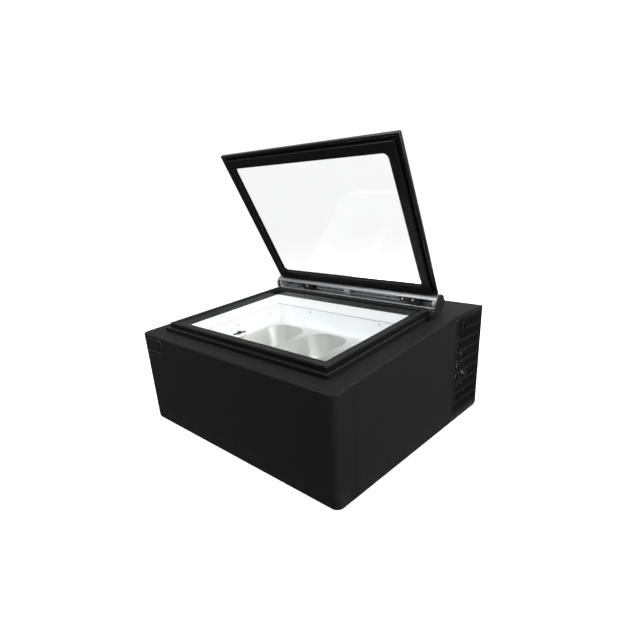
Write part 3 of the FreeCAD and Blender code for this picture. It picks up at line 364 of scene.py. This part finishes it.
def on_lid(x, along, up):
    """A point on the open lid: millimetres across, from the axis to the free edge, and out of its top."""
    return AXIS + Vector((x, up * math.sin(LID_ANGLE) - along * math.cos(LID_ANGLE),
                          along * math.sin(LID_ANGLE) + up * math.cos(LID_ANGLE))) * MM


CONTROLLER_X, CONTROLLER_Z = -294.0, 220.0      # the controller's middle


def facing_front(x, up, out):
    """A point on the controller: millimetres across and up from its middle, and out of the front."""
    return Vector(((CONTROLLER_X + x) * MM, FRONT - out * MM, (CONTROLLER_Z + up) * MM))


def rounded(half_a, half_b, radius, centre=(0.0, 0.0), steps=6):
    """A rounded rectangle as a closed list of points."""
    points = []
    for quarter, (sa, sb) in enumerate(((1, 1), (-1, 1), (-1, -1), (1, -1))):
        ca, cb = centre[0] + sa * (half_a - radius), centre[1] + sb * (half_b - radius)
        for i in range(steps + 1):
            turn = math.pi / 2 * (quarter + i / steps)
            points.append((ca + radius * math.cos(turn), cb + radius * math.sin(turn)))
    return points


def add_ring(mesh, outer, inner, low, high, place):
    """A closed ring between two outlines of the same number of points."""
    loops = [[mesh.verts.new(place(a, b, c)) for a, b in line]
             for line, c in ((outer, low), (outer, high), (inner, high), (inner, low))]
    count = len(outer)
    for k in range(4):
        first, second = loops[k], loops[(k + 1) % 4]
        for i in range(count):
            j = (i + 1) % count
            mesh.faces.new((first[i], first[j], second[j], second[i]))


def block(mesh, a0, a1, b0, b1, low, high, place):
    add_prism(mesh, [(a0, b0), (a1, b0), (a1, b1), (a0, b1)], low, high, place)


# Ribs moulded along the rim, each a low rounded ring
RIM_HALF, RIM_START, RIM_END = 302.5, 41.5, 448.5
RIM_WIDTH = 34.0                # from the rim's edge to the mouth
RIBS = (                        # inset from the rim's edge, width, lower face, upper face
    (3.6, 1.3, 10.9, 11.45),
    (26.6, 1.2, 18.4, 19.0),
    (29.9, 1.2, 18.4, 19.0),
)
ribs = bmesh.new()
middle = (0.0, (RIM_START + RIM_END) / 2)
half_along = (RIM_END - RIM_START) / 2
for inset, wide, low, high in RIBS:
    add_ring(ribs, rounded(RIM_HALF - inset, half_along - inset, 2.5, middle),
             rounded(RIM_HALF - inset - wide, half_along - inset - wide, 1.5, middle), low, high, on_slope)
piece("rim_ribs", ribs, RIM, "cabinet", 0.25 * MM)

# A dark grey line that fills the joint between the collar and the tank, on upright walls: painted shade
# standing in for the shadow under the collar's edge
MOUTH_HALF, MOUTH_FRONT, MOUTH_REAR = RIM_HALF - RIM_WIDTH, RIM_START + RIM_WIDTH, RIM_END - RIM_WIDTH
JOINT = -26.0                   # height of the joint, out of the slope
shade_ring = bmesh.new()
joint_lines = []
middle = (0.0, (MOUTH_FRONT + MOUTH_REAR) / 2 + JOINT * math.tan(SLOPE))
for outward in (0.8, 0.2):      # the line's outer and inner edge, past the mouth
    reach = (MOUTH_REAR - MOUTH_FRONT) / 2 + outward
    joint_lines.append(rounded(MOUTH_HALF + outward, reach, 1.5, middle))
add_ring(shade_ring, *joint_lines, JOINT - 0.5, JOINT + 0.5, on_slope)
SHADE_LINE = rubber("joint_painted_shade", (0.07, 0.072, 0.075), 0.6)
piece("liner_joint_shade", shade_ring, SHADE_LINE, "cabinet", 0.1 * MM, 1)

# Glossy strips along the sides and back of the rim's inner face
STRIP_OUT, STRIP_IN, STRIP_LOW, STRIP_HIGH = MOUTH_HALF + 0.05, MOUTH_HALF - 0.35, 3.9, 18.0
strips = bmesh.new()
for side in (-1, 1):
    block(strips, *sorted((side * STRIP_OUT, side * STRIP_IN)), MOUTH_FRONT + 0.3, MOUTH_REAR - 0.4,
          STRIP_LOW, STRIP_HIGH, on_slope)
block(strips, -STRIP_OUT, STRIP_OUT, MOUTH_REAR - 0.35, MOUTH_REAR + 0.05, STRIP_LOW, STRIP_HIGH, on_slope)
piece("rim_inner_strips", strips, RIM_GLOSS, "cabinet", 0.1 * MM, 1)

# Lamp chips standing on the strip's face
CHIP_COUNT, CHIP_PITCH, CHIP_WIDTH, CHIP_START, CHIP_DEEP = 23, 20.0, 4.0, 75.0, 0.35
CHIP_LOW, CHIP_HIGH = 7.4, 10.4
chips = bmesh.new()
for i in range(CHIP_COUNT):
    left = (i - (CHIP_COUNT - 1) / 2) * CHIP_PITCH - CHIP_WIDTH / 2 + 0.5
    block(chips, left, left + CHIP_WIDTH, CHIP_START, CHIP_START + CHIP_DEEP, CHIP_LOW, CHIP_HIGH, on_slope)
CHIP = glowing("led_chip", (1.0, 0.93, 0.62), 3.0)
piece("led_chips", chips, CHIP, "cabinet", 0.1 * MM, 1)


def hinge_ring(mesh, radius_out, radius_in, x0, x1, steps=64):
    """A flat ring about the hinge axis between two places along it."""
    outer = [(radius_out * math.cos(2 * math.pi * i / steps), radius_out * math.sin(2 * math.pi * i / steps))
             for i in range(steps)]
    inner = [(a * radius_in / radius_out, b * radius_in / radius_out) for a, b in outer]
    add_ring(mesh, outer, inner, x0, x1, lambda a, b, c: AXIS + Vector((c, a, b)) * MM)


# The tube's end shows as a sleeve round each cap, and the cap has a ring round its middle
cap_low, cap_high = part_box("end_caps")
TUBE_RADIUS = (cap_high.z - cap_low.z) / 2 / MM
SLEEVE_OUT, SLEEVE_IN = TUBE_RADIUS + 0.3, TUBE_RADIUS - 2.2
SLEEVE_FROM, SLEEVE_TO = 300.9, 305.0
BOSS_OUT, BOSS_IN, BOSS_FROM, BOSS_TO = 6.5, 3.2, 305.2, 306.6
for side, label in ((-1, "left"), (1, "right")):
    sleeve = bmesh.new()
    hinge_ring(sleeve, SLEEVE_OUT, SLEEVE_IN, side * SLEEVE_FROM, side * SLEEVE_TO)
    piece(f"cap_sleeve_{label}", sleeve, HINGE_ALUMINIUM, "lid", 0.3 * MM)
    boss = bmesh.new()
    hinge_ring(boss, BOSS_OUT, BOSS_IN, side * BOSS_FROM, side * BOSS_TO, 40)
    piece(f"cap_boss_{label}", boss, CAP, "lid", 0.3 * MM)

# The lid frame's extrusion, with the rounded outer edge that catches the light
LID_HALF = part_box("lid_frame")[1].x / MM
LID_REACH, LID_BAR, LID_REAR, RAIL_EDGE = 420.0, 12.0, 22.5, 30.0
LID_UNDER, LID_TOP, LID_ROUND, ROUND_STEPS = 1.5, 11.5, 3.0, 8
profile = [(LID_BAR, LID_UNDER)]        # inset from the outer edge, and height
for i in range(ROUND_STEPS + 1):
    turn = math.pi / 2 * i / ROUND_STEPS
    profile.append((LID_ROUND * (1 - math.sin(turn)), LID_UNDER + LID_ROUND * (1 - math.cos(turn))))
profile += [(0.0, 10.6), (0.3, 11.2), (0.9, LID_TOP), (LID_BAR, LID_TOP)]
extrusion = bmesh.new()
loops = []
for inset, up in profile:
    rear = RAIL_EDGE if inset == LID_BAR else LID_REAR
    x, far = LID_HALF - inset, LID_REACH - inset
    ring = rounded(x, (far - rear) / 2, max(0.4, 3.0 - inset), (0.0, (far + rear) / 2), 5)
    loops.append([extrusion.verts.new(on_lid(a, b, up)) for a, b in ring])
for first, second in zip(loops, loops[1:] + loops[:1]):
    for i in range(len(first)):
        j = (i + 1) % len(first)
        extrusion.faces.new((first[i], first[j], second[j], second[i]))
for face in extrusion.faces:
    face.smooth = True
frame_piece = piece("lid_extrusion", extrusion, LID_BLACK, "lid")
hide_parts("lid_frame")

# Joints of the lid frame on both its faces: mitres at the far corners, butt joints at the hinge rail
MITRE_OUT = 0.06
mitres = bmesh.new()
for side in (-1, 1):
    for low, high, edge in ((LID_UNDER - MITRE_OUT, 1.7, LID_ROUND), (11.3, LID_TOP + MITRE_OUT, 0.9)):
        corner = [(side * (LID_HALF - edge), LID_REACH - edge - 0.4),
                  (side * (LID_HALF - edge - 0.4), LID_REACH - edge),
                  (side * (LID_HALF - LID_BAR - 0.1), LID_REACH - LID_BAR + 0.3),
                  (side * (LID_HALF - LID_BAR + 0.3), LID_REACH - LID_BAR - 0.1)]
        add_prism(mitres, corner, low, high, on_lid)
        across = sorted((side * (LID_HALF - edge), side * (LID_HALF - LID_BAR)))
        block(mitres, *across, RAIL_EDGE - 0.2, RAIL_EDGE + 0.2, low, high, on_lid)
piece("lid_mitres", mitres, BORDER, "lid")

# The controller's raised surround, dark segments behind its window, and generic marks on its keys
SURROUND_A, SURROUND_B, SURROUND_WIDE = 39.6, 23.6, 1.5     # half width, half height, width of the band
surround = bmesh.new()
add_ring(surround, rounded(SURROUND_A, SURROUND_B, 10.4),
         rounded(SURROUND_A - SURROUND_WIDE, SURROUND_B - SURROUND_WIDE, 9.1), -0.1, 1.1, facing_front)
SURROUND = moulded("surround_satin", (0.040, 0.040, 0.042), 0.30, 0.6)
piece("controller_surround", surround, SURROUND, "cabinet", 0.4 * MM)

DIGITS, DIGIT_LEFT, DIGIT_PITCH, DIGIT_BASE = 3, -17.0, 12.5, 0.8
DIGIT_WIDE, DIGIT_TALL, STROKE = 7.6, 13.6, 1.3
DIGIT_LOW, DIGIT_HIGH = 1.25, 1.36
digits = bmesh.new()


def bar(x0, x1, y0, y1):
    block(digits, x0, x1, y0, y1, DIGIT_LOW, DIGIT_HIGH, facing_front)


for digit in range(DIGITS):
    left = DIGIT_LEFT + digit * DIGIT_PITCH
    for level in (0.0, 0.5, 1.0):
        y = DIGIT_BASE + level * (DIGIT_TALL - STROKE)
        bar(left + STROKE, left + DIGIT_WIDE - STROKE, y, y + STROKE)
    for x in (left, left + DIGIT_WIDE - STROKE):
        bar(x, x + STROKE, DIGIT_BASE + STROKE + 0.2, DIGIT_BASE + DIGIT_TALL / 2 - 0.9)
        bar(x, x + STROKE, DIGIT_BASE + DIGIT_TALL / 2 + 0.9, DIGIT_BASE + DIGIT_TALL - STROKE - 0.2)
piece("display_segments", digits, SEGMENT, "cabinet", 0.03 * MM, 1)

KEY_PITCH, KEY_ROW, STAR_OUT, STAR_IN = 17.0, -11.0, 1.8, 1.0
MARK_LOW, MARK_HIGH = 1.3, 1.5
star = []
for k in range(16):
    reach = STAR_OUT if k % 2 else STAR_IN
    star.append((reach * math.cos(math.pi * k / 8), reach * math.sin(math.pi * k / 8)))
marks = {
    "set_button": rounded(1.5, 1.5, 0.3),
    "up_button": [(-1.7, -1.1), (1.7, -1.1), (0.0, 1.6)],
    "down_button": [(-1.7, 1.1), (0.0, -1.6), (1.7, 1.1)],
    "light_button": star,
}
for number, (body, outline) in enumerate(marks.items()):
    key_x = (number - 1.5) * KEY_PITCH
    mark = bmesh.new()
    add_prism(mark, [(key_x + a, KEY_ROW + b) for a, b in outline], MARK_LOW, MARK_HIGH, facing_front)
    piece(f"mark_{body}", mark, MARK, body, 0.05 * MM, 1)

# Pressed ridges between the rows of slots; the right grille has fewer, to clear the power switch
ROW_PITCH, SLOT_HEIGHT, FIRST_SLOT, GRILLE_FACE = 29.7, 23.0, 10.0, 353.0
ROWS_LEFT, ROWS_RIGHT, RIDGE_TOP = 10, 8, 6.0
grille_low, grille_high = (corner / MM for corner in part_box("grille_right"))
for side, label, rows in ((-1, "left", ROWS_LEFT), (1, "right", ROWS_RIGHT)):
    ridges = bmesh.new()
    for row in range(rows):
        z = grille_low.z + FIRST_SLOT + row * ROW_PITCH - (ROW_PITCH - SLOT_HEIGHT) / 2
        if z > grille_high.z - RIDGE_TOP:
            break
        outline = [(z - 1.5, 0.0), (z - 0.6, 0.7), (z + 0.6, 0.7), (z + 1.5, 0.0)]
        add_prism(ridges, outline, grille_low.y + 12, grille_high.y - 8,
                  lambda a, b, c, side=side: Vector((side * (GRILLE_FACE - 0.05 + b), c, a)) * MM)
    piece(f"grille_ridges_{label}", ridges, CABINET, "cabinet", 0.15 * MM, 1)


# ------------------------------------------------------------------ camera, light and floor
def aim(thing, target):
    thing.rotation_euler = (Vector(target) - thing.location).to_track_quat("-Z", "Y").to_euler()


def softbox(name, place, target, size, power):
    data = bpy.data.lights.new(name, "AREA")
    data.shape = "RECTANGLE"
    data.size, data.size_y = size
    data.energy = power
    lamp = bpy.data.objects.new(name, data)
    bpy.context.scene.collection.objects.link(lamp)
    lamp.location = place
    aim(lamp, target)
    lamp.visible_camera = False


camera_data = bpy.data.cameras.new("camera")
camera_data.sensor_width = 36.0
camera_data.lens = 23.708
camera_data.shift_x = -0.0823
camera_data.shift_y = 0.0642
camera_data.clip_start = 0.01
camera = bpy.data.objects.new("camera", camera_data)
bpy.context.scene.collection.objects.link(camera)
camera.location = (0.8258, -0.8050, 0.5610)
camera.rotation_euler = (1.2274, 0.0086, 0.6561)
bpy.context.scene.camera = camera

softbox("key", (-0.4, -1.4, 2.5), (0.0, 0.0, 0.2), (1.8, 1.4), 50)
softbox("top_rear", (0.5, 1.3, 1.9), (0.1, 0.1, 0.3), (2.2, 0.9), 11)
softbox("right", (2.6, -0.1, 1.1), (0.2, 0.0, 0.2), (1.2, 1.6), 80)
softbox("back", (-0.5, 2.4, 0.15), (-0.1, 0.3, 0.15), (2.4, 0.24), 22)
softbox("front", (-0.1, -2.4, 1.3), (0.0, 0.0, 0.2), (1.8, 1.0), 4)

# Light from overhead, from the horizon and from below; what the camera sees of the room is plain white
SKY_LIGHT, HORIZON_LIGHT, FLOOR_LIGHT, SEEN_LIGHT = 0.62, 0.38, 0.15, 1.10
world = bpy.data.worlds.new("studio")
world.use_nodes = True
sky = world.node_tree
lit = sky.nodes["Background"]
lit.inputs["Color"].default_value = (1.0, 1.0, 1.0, 1.0)
direction = sky.nodes.new("ShaderNodeSeparateXYZ")
sky.links.new(sky.nodes.new("ShaderNodeTexCoord").outputs["Generated"], direction.inputs[0])
fade = sky.nodes.new("ShaderNodeValToRGB")
fade.color_ramp.elements[0].position = 0.44
fade.color_ramp.elements[0].color = (FLOOR_LIGHT,) * 3 + (1.0,)
fade.color_ramp.elements[1].position = 1.0
fade.color_ramp.elements[1].color = (SKY_LIGHT,) * 3 + (1.0,)
fade.color_ramp.elements.new(0.53).color = (HORIZON_LIGHT,) * 3 + (1.0,)
height = sky.nodes.new("ShaderNodeMapRange")
height.inputs["From Min"].default_value = -1.0
sky.links.new(direction.outputs["Z"], height.inputs["Value"])
sky.links.new(height.outputs[0], fade.inputs[0])
sky.links.new(fade.outputs[0], lit.inputs["Strength"])
seen = sky.nodes.new("ShaderNodeBackground")
seen.inputs["Color"].default_value = (1.0, 1.0, 1.0, 1.0)
seen.inputs["Strength"].default_value = SEEN_LIGHT
path = sky.nodes.new("ShaderNodeLightPath")
pick = sky.nodes.new("ShaderNodeMixShader")
sky.links.new(path.outputs["Is Camera Ray"], pick.inputs[0])
sky.links.new(lit.outputs[0], pick.inputs[1])
sky.links.new(seen.outputs[0], pick.inputs[2])
sky.links.new(pick.outputs[0], sky.nodes["World Output"].inputs["Surface"])
bpy.context.scene.world = world
bpy.context.scene.view_settings.view_transform = "Standard"
bpy.context.scene.view_settings.look = "None"

floor_look = Surface("floor_white", (0.93, 0.93, 0.93), 0.85, specular=0.1)
floor_look.bump(floor_look.noise(30, 2.0), 0.0002, 0.2)
floor_look.set("Emission Color", (1.0, 1.0, 1.0, 1.0)).set("Emission Strength", 0.6)
floor_mesh = bmesh.new()
bmesh.ops.create_grid(floor_mesh, x_segments=8, y_segments=8, size=30.0)
floor_data = bpy.data.meshes.new("floor")
floor_mesh.to_mesh(floor_data)
floor_mesh.free()
floor = bpy.data.objects.new("floor", floor_data)
bpy.context.scene.collection.objects.link(floor)
floor_data.materials.append(floor_look.finish(floor_look.mottle(2, 0.01)))
floor.location.z = -0.0004
floor.visible_glossy = False
floor.visible_diffuse = False
